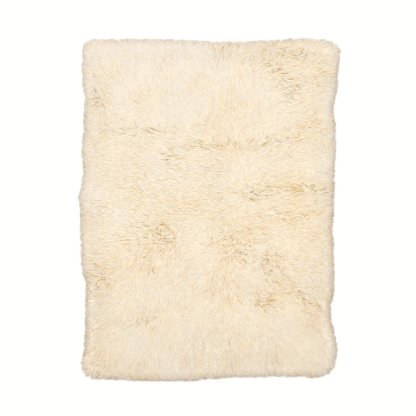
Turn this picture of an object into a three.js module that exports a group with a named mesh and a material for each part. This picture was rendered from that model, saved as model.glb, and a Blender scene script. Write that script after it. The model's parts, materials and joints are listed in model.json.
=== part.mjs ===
// A flokati rug: a hand-woven shag rug of cream sheep's wool, lying flat on the floor.
//
// The ground cloth and the long pile are woven together on the loom and felted in one wash, so the rug
// is one solid: a flat woven ground, a thick pile over it that rounds down at the edges, and the pile
// that hangs out past the ground all round. The outline wanders as a washed wool rug's does, and the
// top has the shallow troughs where the pile parts and the swells where its locks run together.
//
// Units are millimetres. +X is to the right, +Y to the head end and +Z up. The origin is on the floor,
// under the middle of the rug.
import * as THREE from "three";

// ---- Driving dimensions ----
const rugWidth = 1480; // from side to side over the pile, before the edges wander
const rugLength = 2000; // from end to end over the pile, before the edges wander
const pileHeight = 42; // from the floor to the top of the resting pile
const shoulderWidth = 62; // the band along the edges where the pile rounds down
const lipHeight = 10; // top of the pile at the very outline
const hangClearance = 3; // the hanging pile's underside at the outline, above the floor
const groundInset = 30; // how far the pile reaches out past the woven ground
const panelSize = 48; // spacing of the facets inside the shoulder
const edgeFade = 5; // power with which the edges' wander fades towards the middle
const woolColour = new THREE.Color(0.93, 0.87, 0.76);

const halfWidth = rugWidth / 2;
const halfLength = rugLength / 2;

// ---- Corners: each is rounded by the felting, the right foot corner the most ----
const corners = [
  { side: -1, end: 1, radius: 64 },
  { side: 1, end: 1, radius: 74 },
  { side: -1, end: -1, radius: 82 },
  { side: 1, end: -1, radius: 112 },
];

// ---- How far each edge wanders out of its straight line, from foot to head and from left to right ----
// at: place along the edge, from its middle.  out: how far outwards.
const leftSide = [
  { at: -900, out: 10 },
  { at: -840, out: -5 },
  { at: -700, out: -13 },
  { at: -530, out: -16 },
  { at: -440, out: -18 },
  { at: -330, out: 10 },
  { at: -200, out: 10 },
  { at: -130, out: 17 },
  { at: 0, out: 12 },
  { at: 60, out: 29 },
  { at: 140, out: 10 },
  { at: 220, out: -3 },
  { at: 350, out: 7 },
  { at: 460, out: -5 },
  { at: 580, out: -6 },
  { at: 660, out: -17 },
  { at: 710, out: 0 },
  { at: 800, out: 6 },
  { at: 940, out: 0 },
];
const rightSide = [
  { at: -900, out: 10 },
  { at: -820, out: 18 },
  { at: -720, out: 0 },
  { at: -640, out: -18 },
  { at: -570, out: -24 },
  { at: -500, out: -5 },
  { at: -390, out: 0 },
  { at: -260, out: -4 },
  { at: -190, out: -4 },
  { at: -120, out: -18 },
  { at: -50, out: -4 },
  { at: 180, out: -1 },
  { at: 380, out: 8 },
  { at: 500, out: 5 },
  { at: 600, out: -8 },
  { at: 710, out: 18 },
  { at: 790, out: 22 },
  { at: 930, out: 34 },
];
const headEnd = [
  { at: -650, out: 6 },
  { at: -560, out: 0 },
  { at: -475, out: 5 },
  { at: -200, out: 0 },
  { at: 20, out: -11 },
  { at: 160, out: -12 },
  { at: 300, out: -6 },
  { at: 420, out: 0 },
  { at: 550, out: 12 },
  { at: 690, out: -5 },
];
const footEnd = [
  { at: -690, out: -5 },
  { at: -560, out: -4 },
  { at: -400, out: 6 },
  { at: -110, out: 6 },
  { at: -20, out: -6 },
  { at: 160, out: -17 },
  { at: 300, out: -16 },
  { at: 400, out: -24 },
  { at: 475, out: -17 },
  { at: 545, out: -24 },
  { at: 605, out: -12 },
  { at: 680, out: -18 },
];

// ---- Relief of the pile's top: partings and crowns are troughs, and full pile is a swell ----
// x, y: middle.  turn: degrees from +X.  along, across: half lengths.  rise: height, negative for a trough.
const reliefForms = [
  { name: "left parting", x: -355, y: 455, turn: 2, along: 190, across: 34, rise: -7 },
  { name: "right parting", x: 170, y: 380, turn: 4, along: 300, across: 36, rise: -8 },
  { name: "small crown", x: -215, y: 305, turn: 0, along: 50, across: 42, rise: -5 },
  { name: "left crown", x: -275, y: -165, turn: -55, along: 105, across: 70, rise: -8 },
  { name: "right crown", x: 165, y: -245, turn: -50, along: 110, across: 72, rise: -8 },
  { name: "low crown", x: 345, y: -300, turn: 20, along: 80, across: 50, rise: -6 },
  { name: "head patch", x: 76, y: 905, turn: 90, along: 90, across: 60, rise: -6 },
  { name: "head parting", x: 440, y: 800, turn: -35, along: 170, across: 60, rise: -6 },
  { name: "side parting", x: 480, y: 95, turn: 0, along: 260, across: 32, rise: -6 },
  { name: "foot parting", x: 430, y: -520, turn: -18, along: 210, across: 44, rise: -7 },
  { name: "left foot parting", x: -640, y: -420, turn: 80, along: 190, across: 40, rise: -4 },
  { name: "head swell", x: -180, y: 720, turn: 0, along: 330, across: 150, rise: 5 },
  { name: "middle swell", x: -30, y: 130, turn: 0, along: 260, across: 110, rise: 4 },
  { name: "left swell", x: -520, y: 40, turn: 90, along: 240, across: 100, rise: 3 },
  { name: "foot swell", x: -60, y: -700, turn: 0, along: 430, across: 140, rise: 5 },
  { name: "right swell", x: 520, y: -150, turn: 90, along: 150, across: 90, rise: 3 },
];

// The wander of one edge at a place along it: a smooth step between the table's rows.
function wander(edge, place) {
  const last = edge[edge.length - 1];
  if (place <= edge[0].at) return edge[0].out;
  if (place >= last.at) return last.out;
  const i = edge.findIndex((row) => row.at > place);
  const from = edge[i - 1];
  const to = edge[i];
  const step = THREE.MathUtils.smoothstep(place, from.at, to.at);
  return THREE.MathUtils.lerp(from.out, to.out, step);
}

// Where a point of the plain rectangle lies in the corner square it is in, or null outside the corners.
function cornerOf(x, y) {
  const corner = corners.find((c) => c.side * x >= 0 && c.end * y >= 0);
  const across = (Math.abs(x) - halfWidth) / corner.radius + 1;
  const along = (Math.abs(y) - halfLength) / corner.radius + 1;
  return across > 0 && along > 0 ? { ...corner, across, along } : null;
}

// Distance inwards from the plain, round-cornered outline.
function distanceIn(x, y) {
  const corner = cornerOf(x, y);
  if (corner) return corner.radius * (1 - Math.max(corner.across, corner.along));
  return Math.min(halfWidth - Math.abs(x), halfLength - Math.abs(y));
}

// Moves a point of the plain rectangle to its place in the real outline: first the corner squares are
// drawn in to quarter circles, then the edges wander.
function place(x, y) {
  let px = x;
  let py = y;
  const corner = cornerOf(x, y);
  if (corner) {
    const { side, end, radius, across, along } = corner;
    const reach = (radius * Math.max(across, along)) / Math.hypot(across, along);
    px = side * (halfWidth - radius + reach * across);
    py = end * (halfLength - radius + reach * along);
  }
  const nearSide = Math.abs(px / halfWidth) ** edgeFade;
  const nearEnd = Math.abs(py / halfLength) ** edgeFade;
  const sideways = px < 0 ? -wander(leftSide, py) : wander(rightSide, py);
  const endways = py < 0 ? -wander(footEnd, px) : wander(headEnd, px);
  return new THREE.Vector2(px + sideways * nearSide, py + endways * nearEnd);
}

// Height that the partings, crowns and swells add at a point.
function relief(x, y) {
  return reliefForms.reduce((sum, form) => {
    const offset = new THREE.Vector2(x - form.x, y - form.y);
    offset.rotateAround(new THREE.Vector2(), -THREE.MathUtils.degToRad(form.turn));
    const spread = (offset.x / form.along) ** 2 + (offset.y / form.across) ** 2;
    return sum + form.rise * Math.exp(-spread);
  }, 0);
}

// Height of the pile's top: a quarter round over the shoulder, then level apart from the relief.
function pileTop(x, y) {
  const run = Math.min(distanceIn(x, y) / shoulderWidth, 1);
  const round = Math.sqrt(1 - (1 - run) ** 2);
  return lipHeight + (pileHeight - lipHeight + relief(x, y)) * round;
}

// Stations across a span: close together over each shoulder and even between them.
function stations(half) {
  const shoulderShares = [0, 0.07, 0.22, 0.44, 0.7, 1];
  const inner = half - shoulderWidth;
  const panels = Math.round((2 * inner) / panelSize);
  const outer = shoulderShares.map((share) => half - share * shoulderWidth);
  const between = Array.from({ length: panels - 1 }, (_, i) => inner - ((i + 1) * 2 * inner) / panels);
  return [...outer, ...between, ...outer.map((value) => -value).reverse()].reverse();
}

// The rug as one closed surface: the pile's top, the lip, the hanging pile's underside and the flat ground.
function rugGeometry() {
  const xs = stations(halfWidth);
  const ys = stations(halfLength);
  const points = [];
  const faces = [];
  const addPoint = (flat, z) => points.push(flat.x, flat.y, z) / 3 - 1;
  const addQuad = (a, b, c, d) => faces.push(a, b, c, a, c, d);

  // Top of the pile: a grid of panels.
  const top = ys.map((y) => xs.map((x) => addPoint(place(x, y), pileTop(x, y))));
  for (let row = 1; row < ys.length; row++)
    for (let col = 1; col < xs.length; col++)
      addQuad(top[row - 1][col - 1], top[row - 1][col], top[row][col], top[row][col - 1]);

  // The grid's outer stations in order round the outline, anticlockwise from above.
  const lastCol = xs.length - 1;
  const lastRow = ys.length - 1;
  const round = [
    ...xs.map((_, col) => [col, 0]).slice(0, -1),
    ...ys.map((_, row) => [lastCol, row]).slice(0, -1),
    ...xs.map((_, col) => [lastCol - col, lastRow]).slice(0, -1),
    ...ys.map((_, row) => [0, lastRow - row]).slice(0, -1),
  ];
  const inset = new THREE.Vector2(1 - groundInset / halfWidth, 1 - groundInset / halfLength);
  const groundOutline = round.map(([col, row]) => place(xs[col] * inset.x, ys[row] * inset.y));
  const lip = round.map(([col, row]) => top[row][col]);
  const hang = round.map(([col, row]) => addPoint(place(xs[col], ys[row]), hangClearance));
  const ground = groundOutline.map((flat) => addPoint(flat, 0));

  // The lip, then the hanging pile's underside down to the ground cloth.
  for (let i = 0; i < round.length; i++) {
    const next = (i + 1) % round.length;
    addQuad(hang[i], hang[next], lip[next], lip[i]);
    addQuad(ground[i], ground[next], hang[next], hang[i]);
  }

  // The ground cloth's flat underside.
  for (const [a, b, c] of THREE.ShapeUtils.triangulateShape(groundOutline, []))
    faces.push(ground[a], ground[c], ground[b]);

  const geometry = new THREE.BufferGeometry();
  geometry.setAttribute("position", new THREE.Float32BufferAttribute(points, 3));
  geometry.setIndex(faces);

  // The origin is under the middle of the finished outline.
  geometry.computeBoundingBox();
  const middle = geometry.boundingBox.getCenter(new THREE.Vector3());
  geometry.translate(-middle.x, -middle.y, 0);
  geometry.computeVertexNormals();
  return geometry;
}

const rug = new THREE.Mesh(
  rugGeometry(),
  new THREE.MeshStandardMaterial({ color: woolColour, roughness: 1, metalness: 0 }),
);
rug.name = "rug";

const flokati = new THREE.Group();
flokati.add(rug);

export default flokati;
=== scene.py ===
# %% [markdown]
# # A flokati rug in wool
#
# A flokati is a shag rug. A plain wool cloth is woven with long ends of loose wool knotted into it, and
# the whole is then tumbled in cold running water. The water felts the ground and opens the wool ends, so
# each one becomes a soft tapering lock, and neighbouring locks draw together into shaggy points.
#
# The frame holds the rug as one plain solid: its outline, its height and the shallow troughs where the
# pile parts. This lesson dresses that solid with three things that the real rug has: the woven ground, the
# felted bed of the pile and, above all, some tens of thousands of wool locks.

import json

import bpy
import numpy as np
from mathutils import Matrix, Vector
from mathutils.bvhtree import BVHTree
from mathutils.kdtree import KDTree

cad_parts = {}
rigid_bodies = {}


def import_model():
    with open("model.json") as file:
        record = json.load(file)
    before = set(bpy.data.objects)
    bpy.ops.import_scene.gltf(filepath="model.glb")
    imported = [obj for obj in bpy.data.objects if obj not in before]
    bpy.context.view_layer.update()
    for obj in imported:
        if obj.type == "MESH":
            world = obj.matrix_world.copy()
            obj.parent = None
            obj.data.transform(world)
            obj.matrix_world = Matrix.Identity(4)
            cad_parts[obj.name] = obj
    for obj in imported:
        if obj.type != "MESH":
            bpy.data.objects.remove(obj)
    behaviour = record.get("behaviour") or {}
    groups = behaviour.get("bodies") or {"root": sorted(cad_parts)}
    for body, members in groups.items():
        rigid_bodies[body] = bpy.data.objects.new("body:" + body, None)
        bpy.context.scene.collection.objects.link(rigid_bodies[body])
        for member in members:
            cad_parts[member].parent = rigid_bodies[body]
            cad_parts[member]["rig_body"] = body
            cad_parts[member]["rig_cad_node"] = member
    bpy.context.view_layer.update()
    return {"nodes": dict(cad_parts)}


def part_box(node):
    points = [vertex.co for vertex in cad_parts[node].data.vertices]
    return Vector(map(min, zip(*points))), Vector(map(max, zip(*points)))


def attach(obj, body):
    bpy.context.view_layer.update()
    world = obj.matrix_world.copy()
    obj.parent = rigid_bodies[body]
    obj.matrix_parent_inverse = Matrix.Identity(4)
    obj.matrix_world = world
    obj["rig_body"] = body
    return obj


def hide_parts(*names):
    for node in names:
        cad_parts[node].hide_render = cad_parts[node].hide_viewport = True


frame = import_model()
rug_low, rug_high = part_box("rug")
print("the rug's solid runs from", tuple(rug_low), "to", tuple(rug_high))

# %% [markdown]
# The driving sizes of the wool come first, in metres. A flokati's lock is some 60 mm of loose wool that
# leans right over, and locks stand about 7 mm apart. Some four of them share a clump, and more where the
# pile is open. Values that only one step needs stand in that step's own cell.

# %% Sizes of the wool
LOCK_SPACING = 0.0072
LOCK_RUN = 0.055  # how far a lock reaches over the floor, from its root to its tip
LOCK_HALF_WIDTH = 0.0021
LOCK_HALF_DEPTH = 0.0015
CLUMP_SPACING = 0.014
GROUND_INSET = 0.030  # how far the pile reaches out past the woven ground
GROUND_THICKNESS = 0.003
UNDERSIDE_HANG = 0.003  # the hanging pile's lowest wool, above the floor
LIP_HEIGHT = 0.006  # the pile's least height, at the rug's very edge
print(f"a lock every {1000 * LOCK_SPACING:.1f} mm, and a clump every {1000 * CLUMP_SPACING:.0f} mm")

# %% [markdown]
# ## The outline
#
# The rug's sides aren't straight, and all that follows has to keep to them. So the outline comes from the
# frame's solid: rays are shot at it from outside, low over the floor, and the points where they land are
# kept. The wool then follows the solid without any fitting.

# %% Outline of the solid
def solid_tree(node):
    mesh = node.data
    corners = [v.co for v in mesh.vertices]
    return BVHTree.FromPolygons(corners, [tuple(p.vertices) for p in mesh.polygons])


def outline_of(tree, directions=1440, far=2.0):
    """The outline as points round the middle, found by rays that come in from outside."""
    points = []
    for turn in np.linspace(-np.pi, np.pi, directions, endpoint=False):
        outwards = Vector((np.cos(turn), np.sin(turn), 0))
        hit = tree.ray_cast(outwards * far + Vector((0, 0, LIP_HEIGHT)), -outwards)[0]
        points.append((hit.x, hit.y))
    return np.array(points)


def outline_reach(places):
    """How far the outline is from the middle, in the direction of each place."""
    turn = np.arctan2(places[:, 1], places[:, 0])
    turns = np.arctan2(outline[:, 1], outline[:, 0])
    return np.interp(turn, turns, np.linalg.norm(outline, axis=1), period=2 * np.pi)


rug_tree = solid_tree(frame["nodes"]["rug"])
outline = outline_of(rug_tree)
print("outline of", len(outline), "points")

# %% [markdown]
# ## Charts of the rug
#
# Thousands of locks ask the same questions: how far in from the edge am I, how high is the pile here,
# which way does it lie? Asking the solid each time is slow. Instead a chart is drawn once: a grid of
# answers a centimetre apart. Between them it is read by blending the four nearest answers.

# %% A chart and how it is read
CHART_STEP = 0.010
CHART_MARGIN = 0.06  # how far the charts reach past the rug
chart_x = np.arange(rug_low.x - CHART_MARGIN, rug_high.x + CHART_MARGIN, CHART_STEP)
chart_y = np.arange(rug_low.y - CHART_MARGIN, rug_high.y + CHART_MARGIN, CHART_STEP)
across_x, along_y = np.meshgrid(chart_x, chart_y)


def read_chart(chart, x, y):
    """The chart's value at any place, blended between the four nearest answers."""
    column = np.clip((x - chart_x[0]) / CHART_STEP, 0, len(chart_x) - 1.001)
    row = np.clip((y - chart_y[0]) / CHART_STEP, 0, len(chart_y) - 1.001)
    i, j = column.astype(int), row.astype(int)
    right, up = column - i, row - j
    near = chart[j, i] * (1 - right) + chart[j, i + 1] * right
    far = chart[j + 1, i] * (1 - right) + chart[j + 1, i + 1] * right
    return near * (1 - up) + far * up


print("charts of", across_x.shape, "answers")

# %% [markdown]
# Two charts come from the solid itself: how far in from the outline a place is, and how high the pile is
# there. Along the rim the locks fall over and hang, so the pile is taken a little lower than the solid.

# %% Distance and height
RIM_REACH = 0.080  # the band along the outline in which the pile falls over, and greys with painted shade
RIM_FALL = 0.006  # how much lower than the solid the pile lies at the outline


def distance_chart(at_once=4000):
    """How far in from the outline each place is, negative outside it."""
    places = np.stack([across_x.ravel(), along_y.ravel()], 1)
    distance = np.empty(len(places))
    for start in range(0, len(places), at_once):
        part = places[start:start + at_once]
        gaps = np.linalg.norm(part[:, None] - outline[None], axis=2)
        distance[start:start + at_once] = gaps.min(1)
    inside = np.linalg.norm(places, axis=1) < outline_reach(places)
    return np.where(inside, distance, -distance).reshape(across_x.shape)


def height_chart():
    """The top of the pile at each place, and the floor outside the rug."""
    heights = np.zeros(across_x.shape)
    above = rug_high.z + 0.1
    for place, _ in np.ndenumerate(heights):
        hit = rug_tree.ray_cast(Vector((across_x[place], along_y[place], above)), Vector((0, 0, -1)))[0]
        heights[place] = hit.z if hit else 0.0
    return heights


inward = distance_chart()
rim = np.clip(1 - inward / RIM_REACH, 0, 1)
pile_top = height_chart()
pile_top = np.where(pile_top > 0, np.maximum(pile_top - RIM_FALL * rim**0.7, LIP_HEIGHT), 0)
edge_slope_y, edge_slope_x = np.gradient(-inward, CHART_STEP)
print(f"deepest place {inward.max():.3f} m from the edge; highest pile {pile_top.max():.4f} m")

# %% [markdown]
# ## The lay of the pile
#
# Pile lies the way it was last combed, walked on or shaken. On this rug it runs outwards from the middle
# to all four sides, in a fan over the head half and in a slanting fall over the foot half. The table gives
# the heading in degrees, anticlockwise from +X, at eight columns across the rug. Three crowns, where the
# pile stands up and falls to all sides, are laid over it, each out to its own reach.

# %% Table of the lay
LAY_COLUMNS = (-0.62, -0.42, -0.25, -0.08, 0.08, 0.22, 0.38, 0.60)
LAY_ROWS = [
    {"y": 0.90, "headings": (140, 110, 85, 85, 75, 50, -5, 25)},
    {"y": 0.72, "headings": (140, 120, 90, 110, 110, 100, -15, 0)},
    {"y": 0.55, "headings": (140, 150, 130, 140, 120, 105, -5, 20)},
    {"y": 0.40, "headings": (165, 170, 155, 150, 145, 90, 20, 5)},
    {"y": 0.25, "headings": (185, 185, 180, 185, 175, 20, 20, -5)},
    {"y": 0.05, "headings": (160, 175, 160, 180, 175, 0, 0, 0)},
    {"y": -0.12, "headings": (175, 180, 160, 160, 245, -20, 0, 5)},
    {"y": -0.28, "headings": (190, 235, 245, 200, 265, -45, 0, -15)},
    {"y": -0.45, "headings": (180, 245, 265, 230, 255, -50, -15, -20)},
    {"y": -0.65, "headings": (215, 260, 260, 225, 245, -55, -25, -35)},
    {"y": -0.88, "headings": (235, 250, 275, 275, 280, -90, -75, -60)},
]
CROWNS = [
    {"name": "left", "x": -0.275, "y": -0.165, "reach": 0.110},
    {"name": "right", "x": 0.165, "y": -0.245, "reach": 0.115},
    {"name": "low", "x": 0.345, "y": -0.300, "reach": 0.070},
]
print(len(LAY_ROWS) * len(LAY_COLUMNS), "headings and", len(CROWNS), "crowns")

# %% [markdown]
# Between the table's places the headings are blended as arrows, never as angles, because halfway between
# 350 and 10 degrees is 0 and not 180. The chart is then read a little aside of each place, by a slow drift,
# so that no line on which two headings meet runs straight. A crown's arrows point away from its middle and
# are short near it, which later tells the locks there to stand up.

# %% Chart of the lay
LAY_WANDER = 0.03  # how far aside of a place its heading is read
LAY_SWELLS = 0.20  # how wide the swells of that drift are


def drift(x, y, size, seed):
    """A smooth chance value at each place, about -1 to 1, whose swells are about size across."""
    chance = np.random.default_rng(seed)
    waves = 18
    total = np.zeros(np.shape(x))
    for _ in range(waves):
        turn, phase = chance.uniform(0, 2 * np.pi, 2)
        wave = 2 * np.pi / (size * chance.uniform(1.2, 2.8))
        total += np.sin(wave * (np.cos(turn) * x + np.sin(turn) * y) + phase)
    return total / np.sqrt(waves / 2)


def lay_chart():
    """The lay as arrows: one chart of their X and one of their Y."""
    rows = sorted(LAY_ROWS, key=lambda row: row["y"])
    turns = np.radians([row["headings"] for row in rows])
    heights = [row["y"] for row in rows]
    arrows = []
    for part in (np.cos(turns), np.sin(turns)):
        over = np.array([np.interp(chart_x, LAY_COLUMNS, row) for row in part])
        arrows.append(np.array([np.interp(chart_y, heights, column) for column in over.T]).T)
    return arrows


def blend_charts(under, over, share):
    """The charts of one lay, covered by those of another to the given share."""
    return [a * (1 - share) + b * share for a, b in zip(under, over)]


lay = lay_chart()
length = np.hypot(*lay)
aside_x, aside_y = (LAY_WANDER * drift(across_x, along_y, LAY_SWELLS, seed) for seed in (7, 8))
lay = [read_chart(part / length, across_x + aside_x, along_y + aside_y) for part in lay]
for crown in CROWNS:
    from_x, from_y = across_x - crown["x"], along_y - crown["y"]
    away = np.hypot(from_x, from_y) + 1e-6
    swell = np.minimum(away / crown["reach"], 1) ** 2
    share = np.exp(-(away / crown["reach"]) ** 4)
    lay = blend_charts(lay, (from_x / away * swell, from_y / away * swell), share)
print(f"the lay's arrows are {np.hypot(*lay).min():.2f} to {np.hypot(*lay).max():.2f} long")

# %% [markdown]
# Where neighbouring headings disagree, the pile parts. The mean of the arrows round such a place is short,
# so its length tells how much the pile parts there. Along the outline the pile turns outwards and hangs
# over the edge, whatever the table says, because nothing beyond holds it up.

# %% Partings and the edge
EDGE_FULL = 0.15  # the share of the rim's band in which the pile has turned outwards altogether


def spread(chart, reach=0.10):
    """The chart with each answer averaged over those within reach of it."""
    count = round(reach / CHART_STEP)
    window = np.hanning(2 * count + 3)[1:-1]
    window /= window.sum()
    for axis in (0, 1):
        padded = np.pad(chart, [(count, count) if axis == side else (0, 0) for side in (0, 1)], mode="edge")
        chart = np.apply_along_axis(np.convolve, axis, padded, window, "valid")
    return chart


parting = 1 - np.hypot(*(spread(part) for part in lay))
edge_pull = np.clip(1 + EDGE_FULL - inward / RIM_REACH, 0, 1) ** 1.2
lay = blend_charts(lay, (edge_slope_x, edge_slope_y), edge_pull)
print(f"the pile parts by up to {parting.max():.2f}")

# %% [markdown]
# ## Open pile and felted pile
#
# Wool never wears evenly. Along the partings and in the crowns the pile is open: its locks stand up, draw
# together hard, and the yellower wool near the roots shows between them. Elsewhere the locks have felted
# into a soft even nap. The table lists the open places with their middle, their turn in degrees, their half
# lengths along and across that turn, and how open they are, from 0 to 1. Below 0, a place is felted flatter
# than the pile round it.

# %% Table of the open places
OPEN_COLUMNS = ("x", "y", "turn", "along", "across", "open")
OPEN_PLACES = {
    "left parting": (-0.36, 0.455, 0, 0.17, 0.02, 0.9),
    "right parting": (0.03, 0.37, 0, 0.15, 0.02, 0.85),
    "far parting": (0.33, 0.39, 10, 0.15, 0.03, 0.75),
    "small crown": (-0.22, 0.31, 0, 0.04, 0.04, 0.75),
    "left crown": (-0.26, -0.155, -55, 0.12, 0.08, 0.85),
    "right crown": (0.17, -0.24, -50, 0.12, 0.08, 0.6),
    "crown rise": (0.02, -0.19, 90, 0.08, 0.06, 0.4),
    "low crown": (0.36, -0.32, 20, 0.08, 0.07, 0.85),
    "foot parting": (0.31, -0.53, -20, 0.08, 0.05, 0.9),
    "far foot": (0.50, -0.48, -35, 0.14, 0.04, 0.7),
    "side eye": (0.26, 0.09, 0, 0.08, 0.035, 1.0),
    "side parting": (0.56, 0.11, 0, 0.13, 0.03, 0.9),
    "low side": (0.43, -0.04, -5, 0.12, 0.03, 0.7),
    "head patch": (0.08, 0.93, 90, 0.08, 0.06, 0.55),
    "head corner": (0.48, 0.91, -15, 0.20, 0.06, 0.6),
    "head parting": (0.37, 0.82, -35, 0.08, 0.03, 0.7),
    "head eye": (0.47, 0.70, -70, 0.10, 0.06, 0.65),
    "head fold": (0.39, 0.59, 0, 0.12, 0.05, 0.25),
    "head side": (0.58, 0.51, 0, 0.07, 0.06, 0.4),
    "head nap": (-0.27, 0.90, 0, 0.16, 0.09, -0.35),
    "left head": (-0.63, 0.64, -30, 0.06, 0.04, 0.7),
    "left shoulder": (-0.59, 0.52, 45, 0.12, 0.08, 0.4),
    "left nap": (-0.33, 0.17, 10, 0.23, 0.11, 0.25),
    "left flank": (-0.45, -0.13, 90, 0.12, 0.08, 0.4),
    "left fall": (-0.35, -0.33, 80, 0.07, 0.03, 0.65),
    "left side": (-0.62, -0.40, 85, 0.17, 0.07, 0.45),
    "foot nap": (-0.29, -0.47, 0, 0.22, 0.06, 0.2),
    "middle nap": (0.02, 0.21, 0, 0.13, 0.07, 0.3),
    "middle": (0.14, -0.03, -10, 0.19, 0.09, 0.3),
    "middle felt": (-0.12, -0.05, 0, 0.06, 0.06, -0.2),
    "middle fall": (0.05, -0.42, 80, 0.13, 0.05, 0.3),
    "right middle": (0.47, 0.11, 0, 0.20, 0.10, 0.35),
    "right side": (0.56, -0.30, 80, 0.30, 0.12, 0.2),
}
print(len(OPEN_PLACES), "places")

# %% [markdown]
# Each place fades out as a bell does, and where two meet, each opens a share of what the other has left
# closed, so the pile is never more than fully open. The felted bed lies under the top of the pile by the
# depth of its loose wool, and deeper where the pile is open.

# %% Chart of the open pile
FELT_DEPTH = 0.0045  # from the top of the pile down to the felted bed
OPEN_DEPTH = 0.0045  # how much deeper the bed lies where the pile is open
LOWEST_BED = 0.45  # the least height of the bed, as a share of the pile's


def open_chart():
    """How open the pile is, from 0 to 1: a little everywhere, and more in the places of the table."""
    everywhere = 0.16 + 0.10 * drift(across_x, along_y, 0.16, seed=5)
    closed = 1 - np.clip(everywhere, 0, 0.4)
    for values in OPEN_PLACES.values():
        spot = dict(zip(OPEN_COLUMNS, values))
        turn = np.radians(spot["turn"])
        from_x, from_y = across_x - spot["x"], along_y - spot["y"]
        along = (np.cos(turn) * from_x + np.sin(turn) * from_y) / spot["along"]
        across = (np.cos(turn) * from_y - np.sin(turn) * from_x) / spot["across"]
        closed = closed * (1 - spot["open"] * np.exp(-along**2 - across**2))
    return np.clip(1 - closed, 0, 1)


openness = open_chart()
bed_top = np.maximum(pile_top - FELT_DEPTH - OPEN_DEPTH * openness, pile_top * LOWEST_BED)
print(f"{(openness > 0.5).mean():.0%} of the chart is open pile")

# %% [markdown]
# ## One lock of wool
#
# A lock could be a hair system, but hair is only drawn, and a kept model needs real surfaces. So one lock
# is modelled: a small three-sided tube that is extruded from its root end, ring by ring, swells a little
# and is merged to a point. Three sides with smooth shading read as a round lock, and they keep thousands of
# copies light. It stands along +Z, one unit long and one unit in half width, so that a copy can be bent and
# sized.

# %% Model the lock
LOCK_RINGS = [
    {"along": 0.00, "width": 0.75},
    {"along": 0.34, "width": 1.00},
    {"along": 0.70, "width": 0.82},
    {"along": 1.00, "width": 0.00},
]


def deselect_all():
    for thing in bpy.context.selected_objects:
        thing.select_set(False)


def model_lock():
    deselect_all()
    first = LOCK_RINGS[0]
    bpy.ops.mesh.primitive_circle_add(
        vertices=3, radius=first["width"], fill_type="NGON", rotation=(0, 0, np.pi)
    )
    bpy.ops.object.transform_apply(rotation=True)
    lock = bpy.context.object
    lock.name = "lock"
    bpy.ops.object.mode_set(mode="EDIT")
    for ring, after in zip(LOCK_RINGS, LOCK_RINGS[1:]):
        rise = after["along"] - ring["along"]
        bpy.ops.mesh.extrude_region_move(TRANSFORM_OT_translate={"value": (0, 0, rise)})
        if after["width"]:
            share = after["width"] / ring["width"]
            bpy.ops.transform.resize(value=(share, share, 1))
    bpy.ops.mesh.merge(type="CENTER")
    bpy.ops.mesh.select_all(action="SELECT")
    bpy.ops.mesh.normals_make_consistent(inside=False)
    bpy.ops.object.mode_set(mode="OBJECT")
    return lock


pattern = model_lock()
pattern_points = np.array([v.co for v in pattern.data.vertices])
pattern_faces = [tuple(p.vertices) for p in pattern.data.polygons]
bpy.data.objects.remove(pattern)
print("one lock:", len(pattern_points), "points,", len(pattern_faces), "faces")

# %% [markdown]
# ## Where the locks stand
#
# Real pile is knotted in rows, but washing hides the rows, so roots are set on a grid and then jolted by
# chance. Each root belongs to the nearest middle of a clump, and where the pile is open, some clumps have
# joined. The chance numbers come from one seeded source, so the rug is the same each time it is made.

# %% Roots and clumps
THINNING = 0.50  # the share of clumps that have joined others where the pile is fully open
CLOSING = 0.6  # the share of more locks that closes the gap where the pile parts
JOLT = 0.48  # the most that chance moves a place, as a share of the grid's spacing
ROOT_MARGIN = GROUND_INSET - 0.004  # how far in from the outline the roots stay
CLUMP_MARGIN = GROUND_INSET - 0.012  # how far in the middles of the clumps stay

chance = np.random.default_rng(41)


def jolted_grid(spacing, margin):
    """Places about spacing apart over the rug that lie at least margin in from the outline."""
    xs = np.arange(rug_low.x, rug_high.x, spacing)
    ys = np.arange(rug_low.y, rug_high.y, spacing)
    x, y = (part.ravel() for part in np.meshgrid(xs, ys))
    x = x + chance.uniform(-JOLT, JOLT, len(x)) * spacing
    y = y + chance.uniform(-JOLT, JOLT, len(y)) * spacing
    kept = read_chart(inward, x, y) > margin
    return np.stack([x, y], 1)[kept]


def nearest_of(places, middles):
    """For each place, the index of the nearest middle."""
    tree = KDTree(len(middles))
    for index, (x, y) in enumerate(middles):
        tree.insert((x, y, 0), index)
    tree.balance()
    return np.array([tree.find((x, y, 0))[1] for x, y in places])


roots = jolted_grid(LOCK_SPACING, ROOT_MARGIN)
spare = jolted_grid(LOCK_SPACING, ROOT_MARGIN)
spare = spare[chance.uniform(0, 1, len(spare)) < CLOSING * read_chart(parting, *spare.T)]
roots = np.concatenate([roots, spare])
clumps = jolted_grid(CLUMP_SPACING, CLUMP_MARGIN)
clumps = clumps[chance.uniform(0, 1, len(clumps)) > THINNING * read_chart(openness, *clumps.T)]
clump_of = nearest_of(roots + chance.normal(0, 0.002, roots.shape), clumps)
print(len(roots), "locks in", len(clumps), "clumps")

# %% [markdown]
# ## How a lock leans
#
# Each lock starts at its root, rises through the felted bed, and bends over in the lay's direction until
# its tip lies near the top of the pile. Because a lock is low at its root and high at its tip, it lies on
# the roots of the next ones, as shingles do, and no lock has to be told what it lies on. Each lock takes
# its own heading from the lay, with a small chance turn, and its clump has one too.

# %% Headings at the locks
def unit(vectors):
    return vectors / np.maximum(np.linalg.norm(vectors, axis=1, keepdims=True), 1e-9)


def arrows_at(places, strays):
    """Unit arrows of the lay at some places, and how settled it is there. Where it isn't, each strays."""
    arrows = np.stack([read_chart(chart, *places.T) for chart in lay], 1)
    arrows += 0.08 * np.stack([drift(*places.T, 0.09, seed) for seed in (11, 12)], 1)
    settled = np.minimum(np.linalg.norm(arrows, axis=1), 1)
    return unit(arrows + strays * (1 - settled)[:, None]), settled


def turned(arrows, by):
    """The arrows, each turned by its own angle."""
    x, y = arrows.T
    return np.stack([x * np.cos(by) - y * np.sin(by), x * np.sin(by) + y * np.cos(by)], 1)


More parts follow.
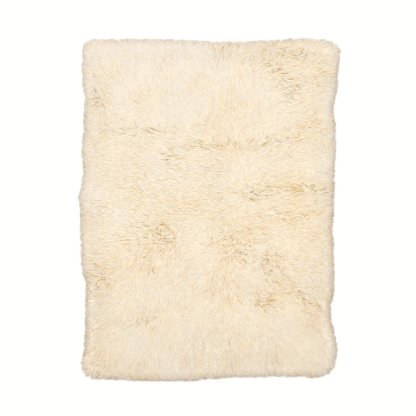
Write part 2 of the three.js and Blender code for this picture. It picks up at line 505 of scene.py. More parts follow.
print("the lay at the middle of the rug:", arrows_at(np.zeros((1, 2)), np.zeros((1, 2)))[0].round(2)[0])

# %% [markdown]
# ## What each lock is like
#
# Towards its tip a lock is drawn sideways to its clump's own line, and a shared wave along the clump is the
# wool's crimp. A clump is rounded like a tuft: a lock on its flank lies deeper than one on its ridge, so
# soft hollows run between the clumps. Sunk and gather are shares, bend is a share of the run, stout is a
# factor, and roll, in radians, turns a lock about its own line.

# %% Traits of the locks
CLUMP_TURN = 0.20  # how far chance turns a clump's heading, in radians
LOCK_TURN = 0.24  # how far it turns a lock's own heading in the felted pile
CLUMP_BEND = 0.5  # how far chance bends the locks of a clump, as a share of their run
LOCK_BEND = 0.08
WANDER = 0.03  # how far aside of its place a clump reads the lay
PARTING_WANDER = 0.10  # how much farther aside it may where the pile parts
FLANK_SUNK = 0.60  # how sunk a lock is on the flank of its clump
ROOT_DEPTH = 0.004  # how deep in the felted bed a lock starts


def make_traits():
    """The traits of every lock, as arrays. Those of a clump are shared by its locks."""
    count, groups = len(roots), len(clumps)
    open_here = read_chart(openness, *roots.T)
    clump_turn = chance.normal(0, CLUMP_TURN, groups)
    strays = unit(chance.normal(0, 1, clumps.shape))
    aside_by = WANDER + PARTING_WANDER * read_chart(parting, *clumps.T)
    wander = chance.normal(0, 1, clumps.shape) * aside_by[:, None]
    clump_open = read_chart(openness, *clumps.T)
    half_spacing = (0.5 * CLUMP_SPACING / np.sqrt(1 - THINNING * clump_open))[clump_of]
    own_strays = unit(strays[clump_of] + chance.normal(0, 0.6, roots.shape))
    arrows, settled = arrows_at(roots + wander[clump_of], own_strays)
    clump_arrows, _ = arrows_at(clumps + wander, strays)
    clump_heading = turned(clump_arrows, clump_turn)[clump_of]
    from_middle = roots - clumps[clump_of]
    aside = from_middle[:, 1] * clump_heading[:, 0] - from_middle[:, 0] * clump_heading[:, 1]
    flank = np.clip(np.abs(aside) / half_spacing, 0, 1.1) ** 3
    own_turn = chance.normal(0, LOCK_TURN, count) * (1 - 0.5 * open_here)
    clump_bend = chance.normal(0, CLUMP_BEND, groups)[clump_of]
    clump_gather = 0.12 * chance.normal(0, 1, groups)[clump_of]
    clump_sunk = 0.10 * chance.uniform(0, 1, groups)[clump_of]
    return {
        "open": open_here,
        "settled": settled,
        "heading": turned(arrows, clump_turn[clump_of] + own_turn),
        "bend": (clump_bend + chance.normal(0, LOCK_BEND, count)) * (0.4 + open_here),
        "clump_heading": clump_heading,
        "clump_root": clumps[clump_of],
        "root_height": read_chart(bed_top, *roots.T) - ROOT_DEPTH,
        "run": LOCK_RUN * chance.uniform(0.80, 1.15, groups)[clump_of] * chance.uniform(0.82, 1.12, count),
        "gather": np.clip(0.15 + 0.50 * open_here + clump_gather, 0, 0.9) * settled,
        "sunk": 0.20 * chance.uniform(0, 1, count) ** 2 + clump_sunk + FLANK_SUNK * flank,
        "stout": chance.uniform(0.80, 1.15, count),
        "roll": chance.uniform(-0.35, 0.35, count),
        "crimp": (0.0005 + 0.0018 * chance.uniform(0, 1, groups))[clump_of],
        "crimp_start": chance.uniform(0, 2 * np.pi, groups)[clump_of] + chance.normal(0, 0.5, count),
        "crimp_waves": chance.uniform(0.7, 1.3, groups)[clump_of],
    }


traits = make_traits()
print("a lock reaches", traits["run"].min().round(3), "to", traits["run"].max().round(3), "m")

# %% [markdown]
# ## Painted shade lines
#
# Some locks take a deep golden tone that stands in for the shaded gaps between locks: painted shade, few in
# the felted pile and many in the open pile. They lie on top and are read as fine lines of shade. A clump
# has two at the most, so that pale wool parts them. After that, every lock's depth and lean are set:
# settled locks lie along the pile, and the others stand up and curl over.

# %% Painted shade line locks, depth and lean
SHADE_LINES_FELTED = 0.009  # the share of painted shade line locks in the felted pile
SHADE_LINES_OPEN = 0.107  # how many more there are where the pile is fully open
SHADE_LINES_FROM = 0.10  # how open the pile has to be before there are more
TOP_SINK = 0.0008  # how deep under the top of the pile even the highest lock lies
FELTED_SINK = 0.0030  # how much deeper a sunk lock lies in the felted pile
OPEN_SINK = 0.0045  # and how much deeper than that where the pile is open


def pick_shade_line_locks():
    """Which locks carry painted shade lines: in two rounds, chance takes at most one lock of each clump."""
    count = len(roots)
    loose_groups = np.clip(1 + 0.7 * drift(*roots.T, 0.03, seed=31), 0, 2)
    more = np.clip(traits["open"] - SHADE_LINES_FROM, 0, 1) ** 0.8
    shade_line_share = loose_groups * (SHADE_LINES_FELTED + SHADE_LINES_OPEN * more)
    in_clump = np.bincount(clump_of, minlength=len(clumps))[clump_of]
    inner = np.zeros(count, bool)
    for _ in range(2):
        mixed = chance.permutation(count)
        first = mixed[np.unique(clump_of[mixed], return_index=True)[1]]
        taken = chance.uniform(0, 1, len(first)) < (0.5 * shade_line_share * in_clump)[first]
        inner[first[taken]] = True
    return inner


# painted shade: these locks' deep golden tone stands in for the shaded gaps between locks
inner = pick_shade_line_locks()
traits["sunk"] = np.where(inner, 0, traits["sunk"])
for name, gain in {"stout": 0.45, "run": -0.25, "bend": 0.5}.items():
    traits[name] *= np.where(inner, 1.0 + gain * traits["open"], 1.0)
traits["sink"] = TOP_SINK + (FELTED_SINK + OPEN_SINK * traits["open"]) * traits["sunk"]
upright = np.clip(0.6 * (1 - traits["settled"]) + 0.1 * traits["open"], 0, 1)
traits["reach_power"] = 1.25 + 1.0 * upright
traits["rise_power"] = 1.7 + 1.8 * upright
traits["run"] *= 1 - 0.35 * upright
traits["overhang"] = chance.uniform(-0.004, 0.007, len(clumps))[clump_of]
traits["overhang"] += chance.uniform(0, 0.003, len(roots))
print(inner.sum(), "locks carry painted shade lines")

# %% [markdown]
# ## The path of a lock
#
# A path is asked for one share of the length at a time, for all the locks at once. A lock runs out along
# its heading, is drawn to its clump's line, bends, and rises towards the top of the pile. No tip passes
# the outline: past it, the lock is held back and falls to the floor instead.

# %% Paths of the locks
DRAWN_BACK = 0.35  # how much a lock is drawn along its clump's line, as a share of the draw across it


def path_of(along):
    """Where each lock's middle line is, at one share of its length from root to tip."""
    heading, clump_heading = traits["heading"], traits["clump_heading"]
    side = np.stack([-heading[:, 1], heading[:, 0]], 1)
    reach = (traits["run"] * along ** traits["reach_power"])[:, None]
    own = roots + heading * reach
    shared = traits["clump_root"] + clump_heading * reach
    wave = traits["crimp_start"] + 2 * np.pi * traits["crimp_waves"] * along
    own = own + side * (traits["crimp"] * np.sin(wave) * along)[:, None]
    shift = shared - own
    sideways = (shift * side).sum(1, keepdims=True) * side
    drawn = traits["gather"][:, None] * along ** 1.3
    flat = own + sideways * drawn + (shift - sideways) * drawn * DRAWN_BACK
    flat = flat + side * (0.5 * traits["bend"] * traits["run"] * along**2)[:, None]
    over = np.maximum(traits["overhang"] - read_chart(inward, *flat.T), 0)
    outwards = np.stack([read_chart(slope, *flat.T) for slope in (edge_slope_x, edge_slope_y)], 1)
    flat = flat - outwards * over[:, None]
    top = read_chart(pile_top, *flat.T)
    low = np.minimum(traits["root_height"], top)
    rise = 1 - (1 - along) ** traits["rise_power"]
    ceiling = np.maximum(top - traits["sink"], UNDERSIDE_HANG + 0.002)
    height = low + (ceiling - low) * rise + traits["crimp"] * 0.5 * np.cos(wave) * along
    return np.column_stack([flat, np.maximum(height, UNDERSIDE_HANG + 0.001)])


tips = path_of(1.0)
print(f"tips lie {tips[:, 2].min():.4f} to {tips[:, 2].max():.4f} m above the floor")

# %% [markdown]
# ## Copies of the lock
#
# Each ring of the pattern is carried to its share of every lock's path, squared to the path there, and
# sized to the lock. The path's direction is taken between two places a little before and after the ring.
# The result is one large array of points, which no loop over locks has to make.

# %% Bend the pattern along the paths
def bent_locks(near=0.04):
    """The pattern's points for every lock: locks, points of one lock, and X, Y, Z."""
    count = len(roots)
    bent = np.empty((count, len(pattern_points), 3))
    heading = traits["heading"]
    flat_side = np.column_stack([-heading[:, 1], heading[:, 0], np.zeros(count)])
    for along in np.unique(pattern_points[:, 2].round(4)):
        middle = path_of(along)
        onwards = unit(path_of(min(along + near, 1.0)) - path_of(max(along - near, 0.0)))
        side = unit(flat_side - (flat_side * onwards).sum(1, keepdims=True) * onwards)
        upper = np.cross(onwards, side)
        turn = (traits["roll"] * (0.4 + along))[:, None]
        side, upper = side * np.cos(turn) + upper * np.sin(turn), upper * np.cos(turn) - side * np.sin(turn)
        for index in np.flatnonzero(np.abs(pattern_points[:, 2] - along) < 1e-3):
            across, depth = pattern_points[index, :2]
            bent[:, index] = (
                middle
                + side * (across * LOCK_HALF_WIDTH * traits["stout"])[:, None]
                + upper * (depth * LOCK_HALF_DEPTH * traits["stout"])[:, None]
            )
    return bent


bent = bent_locks()
bent[:, :, 2] = np.maximum(bent[:, :, 2], UNDERSIDE_HANG * 0.5)
print("bent", bent.shape[0], "locks of", bent.shape[1], "points")

# %% [markdown]
# ## A chart of tones for the wool
#
# All the locks share one picture of wool: 32 columns, from the palest lock to the yellowest, by 8 rows,
# each a little darker than the last; the darker rows are painted shade, with a little darkening by chance.
# A lock takes the column of its own tone and the row of its own painted shade, with its root at the bottom
# of that row and its tip at the top. So one map gives each lock its tone, its painted shade, its yellower
# root and its fibres, and a bake of it stays sharp, because many locks share each spot.
#
# Wool is yellower where the pile is open all round, at the edge, and towards the foot, and yellower where
# it is sunk, which is partly painted warm shade. It is darker and greyer with painted shade along the rim,
# where the pile hangs over, towards the foot, and on sunk locks in the open pile. Two tables say how much
# each cause adds: YELLOWER in shares of the chart's width, and PAINTED_SHADE in shares of full light.

# %% Tables of tone and shade
LOOKS = 32  # columns of the chart, from the palest lock to the yellowest
SHADES = 8  # rows of the chart, each a little darker than the last: painted shade, and a little darkening by chance
SHADE_STEP = 0.03  # how much darker each row is
EDGE_BAND = 0.17  # how far in the edge's yellowing and its greying by painted shade reach
END_START = 0.7  # how far from the rug's middle its two ends begin
END_LENGTH = 0.3
YELLOWER = {
    "everywhere": 0.148,
    "foot": 0.10,  # for each metre towards the foot
    "right": 0.05,  # on the right, and as much less on the left, but for the foot's part
    "patches": 0.05,  # in soft patches
    "open": 0.36,
    # partly painted warm shade: sunk locks, which lie in the hollows between clumps, are made yellower
    "sunk": 0.38,
    "edge": 0.08,
}
FOOT_PART = -0.2  # the foot's part lies below this y
# painted shade, in shares of full light: darker and greyer along the rim where the pile hangs over, in the
# edge's band, towards the foot, and on sunk locks in the open pile
PAINTED_SHADE = {
    "rim": 0.08,
    "rim_at_ends": 0.02,
    "foot": 0.11,  # for each metre below the foot's line
    "edge": 0.092,
    "edge_at_foot": 0.047,
    "sunk": 0.04,  # painted shade of sunk locks, where the pile is open
}
RIM_ENDS = 0.9  # how far from the rug's middle the rim counts as an end's
FOOT_LINE = -0.15
# the deep golden tone of the locks that carry painted shade lines
SHADE_LINE_TONE = {"felted": 0.44, "open": 0.94, "most": 0.96, "chance": 0.10}
CLUMP_TONE = 0.07  # what chance adds to a clump's tone
LOCK_TONE = 0.02
LOCK_SHADE = 0.006  # what a lock's shade is on its own, and what chance adds to it
print("tone chart:", LOOKS, "tones by", SHADES, "shades")

# %% [markdown]
# ## Give each lock its place on the chart
#
# A lock's tone is set by where its root is, and its painted shade by where most of its length shows, which
# at the rim is some way out from the root. Locks that carry painted shade lines have a deep golden tone of
# their own. Chance changes the tone a little for each clump and less for each lock, because locks of one
# clump are alike.

# %% Tone and shade of each lock
def outer_share(x, y):
    """1 at the very edge of the rug, falling to 0 at the inner side of the edge's band."""
    return np.clip(1 - read_chart(inward, x, y) / EDGE_BAND, 0, 1)


def end_share(along):
    """0 where an end begins, rising to 1 at its rim: at the head for y, and at the foot for -y."""
    return np.clip((along - END_START) / END_LENGTH, 0, 1)


def lock_columns():
    """The column of each lock on the chart."""
    x, y = roots.T
    open_around = read_chart(spread(openness, reach=0.15), x, y)
    tone = YELLOWER["everywhere"] - YELLOWER["foot"] * y
    tone += YELLOWER["right"] * np.tanh(3 * x) * (y > FOOT_PART)
    tone += YELLOWER["patches"] * drift(x, y, 0.22, seed=21)
    # yellower with openness, and yellower on sunk locks, which is partly painted warm shade
    tone += YELLOWER["open"] * open_around + YELLOWER["sunk"] * traits["sunk"]
    tone += YELLOWER["edge"] * (1 - end_share(y)) * (1 - 0.5 * end_share(-y)) * outer_share(x, y)
    tone += chance.normal(0, CLUMP_TONE, len(clumps))[clump_of] + chance.normal(0, LOCK_TONE, len(roots))
    shade_line_tone = np.minimum(SHADE_LINE_TONE["felted"] + SHADE_LINE_TONE["open"] * traits["open"], SHADE_LINE_TONE["most"])
    shade_line_tone += chance.uniform(-SHADE_LINE_TONE["chance"], SHADE_LINE_TONE["chance"], len(roots))
    # painted shade lines: these locks take the deep golden tone
    tone = np.where(inner, shade_line_tone, tone)
    return np.clip(tone * LOOKS, 0, LOOKS - 1).astype(int)


def lock_rows():
    """The row of each lock on the chart, which paints its shade, from where most of its length lies."""
    x, y = path_of(0.75)[:, :2].T
    # painted shade: darker along the rim where the pile hangs over, in the edge's band, towards the foot,
    # and on sunk locks in the open pile; chance adds a little
    at_rim = np.where(np.abs(y) > RIM_ENDS, PAINTED_SHADE["rim_at_ends"], PAINTED_SHADE["rim"])
    dark = at_rim * read_chart(rim, x, y) + PAINTED_SHADE["foot"] * np.maximum(FOOT_LINE - y, 0)
    at_edge = PAINTED_SHADE["edge"] + (PAINTED_SHADE["edge_at_foot"] - PAINTED_SHADE["edge"]) * end_share(-y)
    dark += at_edge * outer_share(x, y)
    dark += PAINTED_SHADE["sunk"] * traits["open"] * traits["sunk"]
    dark += chance.normal(LOCK_SHADE, LOCK_SHADE, len(roots))
    return np.clip(dark / SHADE_STEP, 0, SHADES - 1).astype(int)


columns = lock_columns()
rows = lock_rows()
print("tones:", np.bincount(columns // 8, minlength=4), "locks in each quarter of the chart")

# %% [markdown]
# ## The pile's five bands
#
# The locks are cut into five bands across the rug, each a joined mesh. A band keeps under 200,000
# triangles, which one mesh of the whole pile would not. Its places on the chart are a map on the mesh: the
# lock's width runs across its column, and its length up its row, with a margin so that no neighbour's tone
# bleeds in. The lock's shut root end has no height on the map, as nothing ever sees it.

# %% Join the bands
BANDS = ("foot", "lower", "middle", "upper", "head")
COLUMN_MARGIN = 0.12  # of a column's width, on each side
ROW_MARGIN = 0.02  # of a row's height, at each end


def pile_band(name, chosen):
    """One band of the pile: the chosen locks, joined in one mesh with their places on the tone chart."""
    points = bent[chosen].reshape(-1, 3)
    step = len(pattern_points)
    starts = range(0, len(chosen) * step, step)
    faces = [tuple(start + corner for corner in face) for start in starts for face in pattern_faces]
    mesh = bpy.data.meshes.new(name)
    mesh.from_pydata(points.tolist(), [], faces)
    mesh.polygons.foreach_set("use_smooth", np.ones(len(faces), bool))
    across = 0.5 + 0.5 * np.clip(pattern_points[:, 0], -1, 1)
    along = pattern_points[:, 2]
    u = (columns[chosen][:, None] + COLUMN_MARGIN + (1 - 2 * COLUMN_MARGIN) * across[None]) / LOOKS
    v = (rows[chosen][:, None] + ROW_MARGIN + (1 - 2 * ROW_MARGIN) * along[None]) / SHADES
    corners = np.empty(len(mesh.loops), int)
    mesh.loops.foreach_get("vertex_index", corners)
    chart = np.stack([u.ravel(), v.ravel()], 1)[corners]
    mesh.uv_layers.new(name="OFBake").uv.foreach_set("vector", chart.astype(np.float32).ravel())
    mesh.set_sharp_from_angle(angle=np.radians(40))
    band = bpy.data.objects.new(name, mesh)
    bpy.context.collection.objects.link(band)
    return band


in_order = np.argsort(roots[:, 1])
bands = [pile_band(f"pile_{name}", part) for name, part in zip(BANDS, np.array_split(in_order, len(BANDS)))]
for band in bands:
    print(band.name, sum(len(p.vertices) - 2 for p in band.data.polygons), "triangles")

# %% [markdown]
# ## The felted bed
#
# Under the locks, the short underwool has felted to a dense bed that no light gets through. It has the
# rug's own form, only lower: some 5 mm under the tips where the pile is felted, and up to 9 mm where it is
# open. So a copy of the frame's solid is the quickest honest start. Its doubled points are merged, it is
# drawn in a little, subdivided, roughened into tufts with a displacement, and then lowered to its chart.

# %% Model the bed
BED_INSET = 0.010  # how far the bed's edge is drawn in
TUFT_SIZE = 0.022
TUFT_HEIGHT = 0.005


def model_bed():
    deselect_all()
    bed = frame["nodes"]["rug"].copy()
    bed.data = frame["nodes"]["rug"].data.copy()
    bed.name = bed.data.name = "felted_bed"
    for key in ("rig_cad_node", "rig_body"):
        del bed[key]
    bed.parent = None
    bpy.context.collection.objects.link(bed)
    bed.select_set(True)
    bpy.context.view_layer.objects.active = bed
    inset = 1 - 2 * BED_INSET / (rug_high.x - rug_low.x)
    bpy.ops.object.mode_set(mode="EDIT")
    bpy.ops.mesh.select_all(action="SELECT")
    bpy.ops.mesh.remove_doubles(threshold=1e-5)
    bpy.ops.transform.resize(value=(inset, inset, 1), center_override=(0, 0, 0))
    bpy.ops.mesh.subdivide(number_cuts=2)
    bpy.ops.object.mode_set(mode="OBJECT")
    tufts = bpy.data.textures.new("tufts", "CLOUDS")
    tufts.noise_scale = TUFT_SIZE
    lumps = bed.modifiers.new("tufts", "DISPLACE")
    lumps.texture = tufts
    lumps.texture_coords = "LOCAL"
    lumps.direction = "Z"
    lumps.strength = TUFT_HEIGHT
    lumps.mid_level = 0.5
    bpy.ops.object.modifier_apply(modifier="tufts")
    bpy.ops.object.shade_smooth()
    return bed


def lower_bed(bed):
    """Lower the bed to its chart, and keep it above the floor."""
    places = np.array([v.co for v in bed.data.vertices])
    share = read_chart(bed_top, *places.T[:2]) / np.maximum(read_chart(pile_top, *places.T[:2]), 0.004)
    places[:, 2] = np.maximum(places[:, 2] * share, GROUND_THICKNESS * 0.5)
    bed.data.vertices.foreach_set("co", places.ravel())
    bed.data.update()
    openness_layer = bed.data.attributes.new("open pile", "FLOAT", "POINT")
    openness_layer.data.foreach_set("value", read_chart(openness, *places.T[:2]).astype(np.float32))


bed = model_bed()
lower_bed(bed)
heights = np.array([v.co.z for v in bed.data.vertices])
print(f"bed: {len(bed.data.polygons)} faces, {heights.min():.4f} to {heights.max():.4f} m")

# %% [markdown]
# ## The woven ground
#
# The ground shows only from below and as the thing that the pile hangs past. It is a plain weave, so it
# starts as a grid, whose lines run as the warp and the weft do. The grid is drawn out along rays from the
# middle until its edge is the rug's outline less the hanging pile, and Solidify gives the cloth its
# thickness.

# %% Model the ground
def model_ground():
    """The cloth: square near the middle, and fitted to the outline more and more towards its edge."""
    deselect_all()
    width, length = rug_high.x - rug_low.x, rug_high.y - rug_low.y
    bpy.ops.mesh.primitive_grid_add(x_subdivisions=48, y_subdivisions=64, size=1)
    ground = bpy.context.object
    ground.name = ground.data.name = "woven_ground"
    places = np.array([v.co for v in ground.data.vertices])[:, :2] * 2
    share = np.abs(places).max(1)
    square = np.where(share > 0, share, 1)[:, None]
    edge = places / square * (width / 2, length / 2)
    edge_reach = np.maximum(np.linalg.norm(edge, axis=1), 1e-6)
    fitted = edge * ((outline_reach(edge) - GROUND_INSET) / edge_reach)[:, None]
    inner = places * (width / 2, length / 2) * (1 - 2 * GROUND_INSET / width)
    pull = (share**4)[:, None]
    flat = inner * (1 - pull) + fitted * share[:, None] * pull
    cloth = np.column_stack([flat, np.zeros(len(flat))])
    ground.data.vertices.foreach_set("co", cloth.ravel())
    wall = ground.modifiers.new("thickness", "SOLIDIFY")
    wall.thickness = GROUND_THICKNESS
    wall.offset = 1
    bpy.ops.object.modifier_apply(modifier="thickness")
    return ground


ground = model_ground()
print("ground:", len(ground.data.polygons), "faces,", tuple(round(d, 3) for d in ground.dimensions))

# %% [markdown]
# ## Wiring nodes
#
# A finish is a tree of nodes that ends at its shader. The same few steps come up in every tree, so they
# are helpers: add a node with its settings and inputs, work out a sum, multiply two colours, and read a
# ramp.

# %% Helpers for nodes
def give(tree, socket, given):
    """Hand a socket a plain value, or another node's output."""
    if isinstance(given, bpy.types.NodeSocket):
        tree.links.new(given, socket)
    else:
        socket.default_value = given


def add_node(tree, kind, settings=(), **givens):
    """A node with its settings, and with what its named inputs are given."""
    node = tree.nodes.new(kind)
    for name, setting in dict(settings).items():
        setattr(node, name, setting)
    for name, given in givens.items():
        give(tree, node.inputs[name.replace("_", " ")], given)
    return node


def add_math(tree, operation, *givens):
    """The result of one operation on what it is given."""
    node = add_node(tree, "ShaderNodeMath", {"operation": operation})
    for socket, given in zip(node.inputs, givens):
        give(tree, socket, given)
    return node.outputs["Value"]


def multiply_colours(tree, first, second):
    """The product of two colours. Among this node's many sockets, 6, 7 and output 2 are for colours."""
    node = add_node(tree, "ShaderNodeMix", {"data_type": "RGBA", "blend_type": "MULTIPLY"}, Factor=1.0)
    give(tree, node.inputs[6], first)
    give(tree, node.inputs[7], second)
    return node.outputs[2]


def add_ramp(tree, factor, stops, interpolation="LINEAR"):
    """The colour of a ramp, whose stops are each a place and a colour."""
    ramp = add_node(tree, "ShaderNodeValToRGB", Fac=factor)
    ramp.color_ramp.interpolation = interpolation
    elements = ramp.color_ramp.elements
    while len(elements) < len(stops):
        elements.new(0.5)
    for element, (place, colour) in zip(elements, stops):
        element.position = place
        element.color = (*colour, 1)
    return ramp.outputs["Color"]


print("helpers for nodes, numbers, colours and ramps")

# %% [markdown]
# ## Shared effects for the finishes
#
# Two effects are used by more than one material, so each is a node group with named inputs and outputs.
# Fibres are fine lines along the wool, and they also give a height for bump. The tone group takes a colour
# and a mask, and darkens or lightens the colour by it, between two values that each finish sets for itself.

# %% Node groups
def new_group(name, inputs, outputs):
    """A group, the outputs of the node that brings its inputs, and the inputs of the one that ends it."""
    group = bpy.data.node_groups.new(name, "ShaderNodeTree")
    for label, kind, value in inputs:
        socket = group.interface.new_socket(name=label, in_out="INPUT", socket_type=kind)
        if value is not None:
            socket.default_value = value
    for label, kind in outputs:
        group.interface.new_socket(name=label, in_out="OUTPUT", socket_type=kind)
    return group, group.nodes.new("NodeGroupInput").outputs, group.nodes.new("NodeGroupOutput").inputs


def fibre_group():
    """Fine lines along one direction of a map: stretched noise."""
    inputs = [("Vector", "NodeSocketVector", None), ("Fineness", "NodeSocketFloat", 12.0)]
    group, given, out = new_group("wool fibres", inputs, [("Fibres", "NodeSocketFloat")])
    noise = add_node(group, "ShaderNodeTexNoise", Vector=given["Vector"], Detail=3.0, Roughness=0.6)
    give(group, noise.inputs["Scale"], given["Fineness"])
    give(group, out["Fibres"], noise.outputs["Fac"])
    return group


def tone_group():
    """A colour darkened or lightened by a mask, a little."""
    inputs = [
        ("Wool", "NodeSocketColor", (1, 1, 1, 1)),
        ("Mask", "NodeSocketFloat", 0.5),
        ("Darkest", "NodeSocketFloat", 0.8),
        ("Lightest", "NodeSocketFloat", 1.05),
    ]
    group, given, out = new_group("wool tone", inputs, [("Wool", "NodeSocketColor")])
    light = add_node(group, "ShaderNodeMapRange", Value=given["Mask"], From_Min=0.3, From_Max=0.7)
    give(group, light.inputs["To Min"], given["Darkest"])
    give(group, light.inputs["To Max"], given["Lightest"])
    toned = add_node(group, "ShaderNodeVectorMath", {"operation": "SCALE"}, Vector=given["Wool"])
    give(group, toned.inputs["Scale"], light.outputs["Result"])
    give(group, out["Wool"], toned.outputs["Vector"])
    return group


wool_fibres = fibre_group()
wool_tone = tone_group()


def add_fibres(tree, **givens):
    return add_node(tree, "ShaderNodeGroup", {"node_tree": wool_fibres}, **givens).outputs["Fibres"]


def add_tone(tree, **givens):
    return add_node(tree, "ShaderNodeGroup", {"node_tree": wool_tone}, **givens).outputs["Wool"]


print("node groups:", wool_fibres.name, "and", wool_tone.name)

# %% [markdown]
# ## What all the finishes share
#
# Wool, felt, yarn and the floor are all matt, so they are one kind of shader: it is rough and reflects
# little, and only the yarn has a trace of sheen. Each wool finish then sets a colour and a bump on it.

# %% Shader and bump
def new_material(name, roughness, sheen):
    """A material, its tree and its shader, which reflects little, as wool and a matt floor do."""
    material = bpy.data.materials.new(name)
    material.use_nodes = True
    tree = material.node_tree
    shader = tree.nodes["Principled BSDF"]
    shader.inputs["Roughness"].default_value = roughness
    shader.inputs["Specular IOR Level"].default_value = 0.1
    shader.inputs["Sheen Weight"].default_value = sheen
    shader.inputs["Sheen Roughness"].default_value = 0.6
    return material, tree, shader


def finish(tree, shader, colour, height, strength, distance):
    """Put a colour on the shader, and a bump that a height gives."""
    bump = add_node(tree, "ShaderNodeBump", Height=height, Strength=strength, Distance=distance)
    give(tree, shader.inputs["Base Color"], colour)
    give(tree, shader.inputs["Normal"], bump.outputs["Normal"])


print("a matt shader, and a bump for each finish")

# %% [markdown]
# ## The wool of the locks
#
# Undyed wool is a warm white that reflects nearly all the light it gets. In the gaps between locks, light
# bounces from wool to wool and turns yellower each time, so most of the depth of colour comes by itself.
# The material adds what the fleece itself has: yellower wool at the roots, where its grease was, and pale
# dry tips. Wool has no gloss worth the name, so it is fully rough and has no sheen: the fine tips
# themselves catch the light as sheen would.

# %% Pile material
WOOL_TONES = [
    (0.0, (0.83, 0.795, 0.71)),
    (0.35, (0.83, 0.76, 0.625)),
    (0.6, (0.845, 0.73, 0.515)),
    (0.8, (0.74, 0.565, 0.285)),
    (1.0, (0.56, 0.375, 0.155)),
]
ROOT_TONES = [
    (0.0, (0.84, 0.77, 0.60)),
    (0.25, (0.96, 0.93, 0.86)),
    (0.5, (1.0, 1.0, 1.0)),
]
BLUE_LOSS = 0.75  # a darker row of painted shade loses this share of the step in blue, so it turns greyer too
FIBRES_ACROSS = 9.0  # in a column
FIBRES_ALONG = 7.0  # in a row


def row_shade(row):
    dark = SHADE_STEP * row
    return (1 - dark, 1 - dark, 1 - BLUE_LOSS * dark)


def pile_material():
    """The tone across the chart, the yellower root up each column, and the greyer rows of painted shade."""
    material, tree, shader = new_material("pile wool", roughness=1.0, sheen=0.0)
    chart = add_node(tree, "ShaderNodeUVMap", {"uv_map": "OFBake"}).outputs["UV"]
    parts = add_node(tree, "ShaderNodeSeparateXYZ", Vector=chart)
    along = add_math(tree, "FRACT", add_math(tree, "MULTIPLY", parts.outputs["Y"], SHADES))
    tone = add_ramp(tree, parts.outputs["X"], WOOL_TONES)
    root = add_ramp(tree, along, ROOT_TONES)
    row_stops = [(row / SHADES, row_shade(row)) for row in range(SHADES)]
    shade = add_ramp(tree, parts.outputs["Y"], row_stops, interpolation="CONSTANT")
    wool = multiply_colours(tree, multiply_colours(tree, tone, root), shade)
    # Fibres run up the column, so the noise is stretched along it.
    fine = (LOOKS * FIBRES_ACROSS, SHADES * FIBRES_ALONG, 1.0)
    lined = add_node(tree, "ShaderNodeMapping", Vector=chart, Scale=fine)
    fibres = add_fibres(tree, Vector=lined.outputs["Vector"], Fineness=1.0)
    wool = add_tone(tree, Wool=wool, Mask=fibres, Darkest=0.95, Lightest=1.02)
    finish(tree, shader, wool, fibres, strength=0.35, distance=0.001)
    return material


pile_wool = pile_material()
for band in bands:
    band.data.materials.append(pile_wool)
print("pile wool on", len(bands), "bands")

# %% [markdown]
# ## The bed's felt and the ground's weave
#
# Felt is a mat of fibres with no direction, so its noise isn't stretched. Its colour is the wool's own, and
# yellower where the pile is open, which an attribute on the bed's mesh tells it. The ground is a plain
# weave of thicker undyed yarn: two crossed waves, the higher of which is taken at each place, give the
# height for its bump and painted shade in the hollows between the yarns.

# %% Bed and ground materials
FELT_TONES = [
    (0.2, (0.79, 0.73, 0.60)),
    (0.6, (0.74, 0.64, 0.44)),
]
UNDYED_YARN = (0.80, 0.70, 0.54, 1)
YARN_PITCH = 0.0045
WAVE_WIDTH = 0.314  # one wave of the texture, where its scale is 1


def felt_material():
    material, tree, shader = new_material("bed felt", roughness=1.0, sheen=0.0)
    place = add_node(tree, "ShaderNodeTexCoord").outputs["Object"]
    opened = add_node(tree, "ShaderNodeAttribute", {"attribute_name": "open pile"})
    felt = add_ramp(tree, opened.outputs["Fac"], FELT_TONES)
    fibres = add_fibres(tree, Vector=place, Fineness=180.0)
    felt = add_tone(tree, Wool=felt, Mask=fibres, Darkest=0.92, Lightest=1.03)
    finish(tree, shader, felt, fibres, strength=0.5, distance=0.002)
    return material


def weave_material():
    material, tree, shader = new_material("ground weave", roughness=0.95, sheen=0.1)
    place = add_node(tree, "ShaderNodeTexCoord").outputs["Object"]
    waves = []
    for direction in ("X", "Y"):
        wave = add_node(tree, "ShaderNodeTexWave", {"bands_direction": direction}, Vector=place, Detail=1.0)
        wave.inputs["Scale"].default_value = WAVE_WIDTH / YARN_PITCH
        wave.inputs["Distortion"].default_value = 0.6
        waves.append(wave.outputs["Fac"])
    over = add_math(tree, "MAXIMUM", *waves)
    fibres = add_fibres(tree, Vector=place, Fineness=420.0)
    # painted shade: the yarn is darker in the hollows between the yarns
    yarn = add_tone(tree, Wool=UNDYED_YARN, Mask=over, Darkest=0.72, Lightest=1.0)
    yarn = add_tone(tree, Wool=yarn, Mask=fibres, Darkest=0.9, Lightest=1.05)
    finish(tree, shader, yarn, over, strength=0.8, distance=0.0012)
    return material


bed.data.materials.clear()
bed.data.materials.append(felt_material())
ground.data.materials.append(weave_material())
print("felt on the bed, weave on the ground")

# %% [markdown]
# ## The studio
#
# The rug lies on a pale floor under a bright even dome, with one broad soft light from the head end and a
# little to the left, so the pile's locks have a lit and a shaded side.

# %% Floor and lights
DOME_STRENGTH = 0.36
KEY_STRENGTH = 2.89
KEY_FROM = Vector((-0.07, 0.14, 1.0))
KEY_SPREAD = 75  # degrees of the sky that the light fills
LIGHT_COLOUR = (1.0, 0.97, 0.955)  # a little warm, as studio lamps are
FLOOR_SIZE = 30
FLOOR_DROP = 0.0005  # the floor lies this much under the rug, so that the two don't flicker
FLOOR_COLOUR = (0.82, 0.82, 0.82, 1)


def make_floor():
    deselect_all()
    bpy.ops.mesh.primitive_plane_add(size=FLOOR_SIZE, location=(0, 0, -FLOOR_DROP))
    floor = bpy.context.object
    floor.name = "floor"
    material, _, shader = new_material("floor white", roughness=0.9, sheen=0.0)
    shader.inputs["Base Color"].default_value = FLOOR_COLOUR
    floor.data.materials.append(material)
    return floor


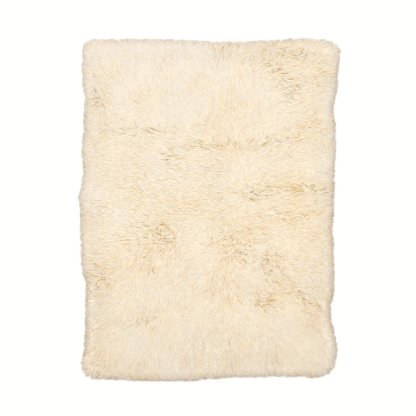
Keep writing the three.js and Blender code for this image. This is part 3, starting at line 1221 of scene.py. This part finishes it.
def make_lights():
    world = bpy.data.worlds.new("dome")
    world.use_nodes = True
    sky = world.node_tree.nodes["Background"]
    sky.inputs["Color"].default_value = (*LIGHT_COLOUR, 1)
    sky.inputs["Strength"].default_value = DOME_STRENGTH
    bpy.context.scene.world = world
    key = bpy.data.lights.new("key", "SUN")
    key.energy = KEY_STRENGTH
    key.color = LIGHT_COLOUR
    key.angle = np.radians(KEY_SPREAD)
    key_light = bpy.data.objects.new("key", key)
    key_light.rotation_euler = KEY_FROM.to_track_quat("Z", "Y").to_euler()
    bpy.context.collection.objects.link(key_light)


floor = make_floor()
make_lights()
print("floor", FLOOR_SIZE, "m wide, dome", DOME_STRENGTH, "and key light", KEY_STRENGTH)

# %% [markdown]
# ## The camera and the light's path
#
# The camera looks straight down through a long lens from high up, which shows the rug nearly without
# perspective.
#
# White wool passes light on many times before it is dark, so the light may bounce more often than usual.
# Fine locks need a crisp picture: the filter is narrow, and the denoiser's guides aren't smoothed.

# %% Camera and render settings
CAMERA_PLACE = (-0.006, 0.008, 8.0)
VIEW_WIDTH = 2.44  # what the picture takes in at the floor
SENSOR_WIDTH = 36


def make_camera():
    camera = bpy.data.cameras.new("camera")
    camera.sensor_width = SENSOR_WIDTH
    camera.lens = CAMERA_PLACE[2] * SENSOR_WIDTH / VIEW_WIDTH
    camera.clip_end = 100
    overhead = bpy.data.objects.new("camera", camera)
    overhead.location = CAMERA_PLACE
    bpy.context.collection.objects.link(overhead)
    bpy.context.scene.camera = overhead


make_camera()
scene = bpy.context.scene
scene.view_settings.view_transform = "Standard"
scene.cycles.diffuse_bounces = 12
scene.cycles.max_bounces = 16
scene.cycles.filter_width = 1.0
scene.cycles.denoising_prefilter = "NONE"
print("camera lens", round(scene.camera.data.lens, 1), "mm")

# %% [markdown]
# ## Hand the pieces to the frame
#
# Every piece rides on the rug's one body. The bed stands for the frame's plain solid, which is then hidden.

# %% Pieces and bodies
for piece in (*bands, bed):
    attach(piece, "root")
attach(ground, "root")
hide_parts("rug")
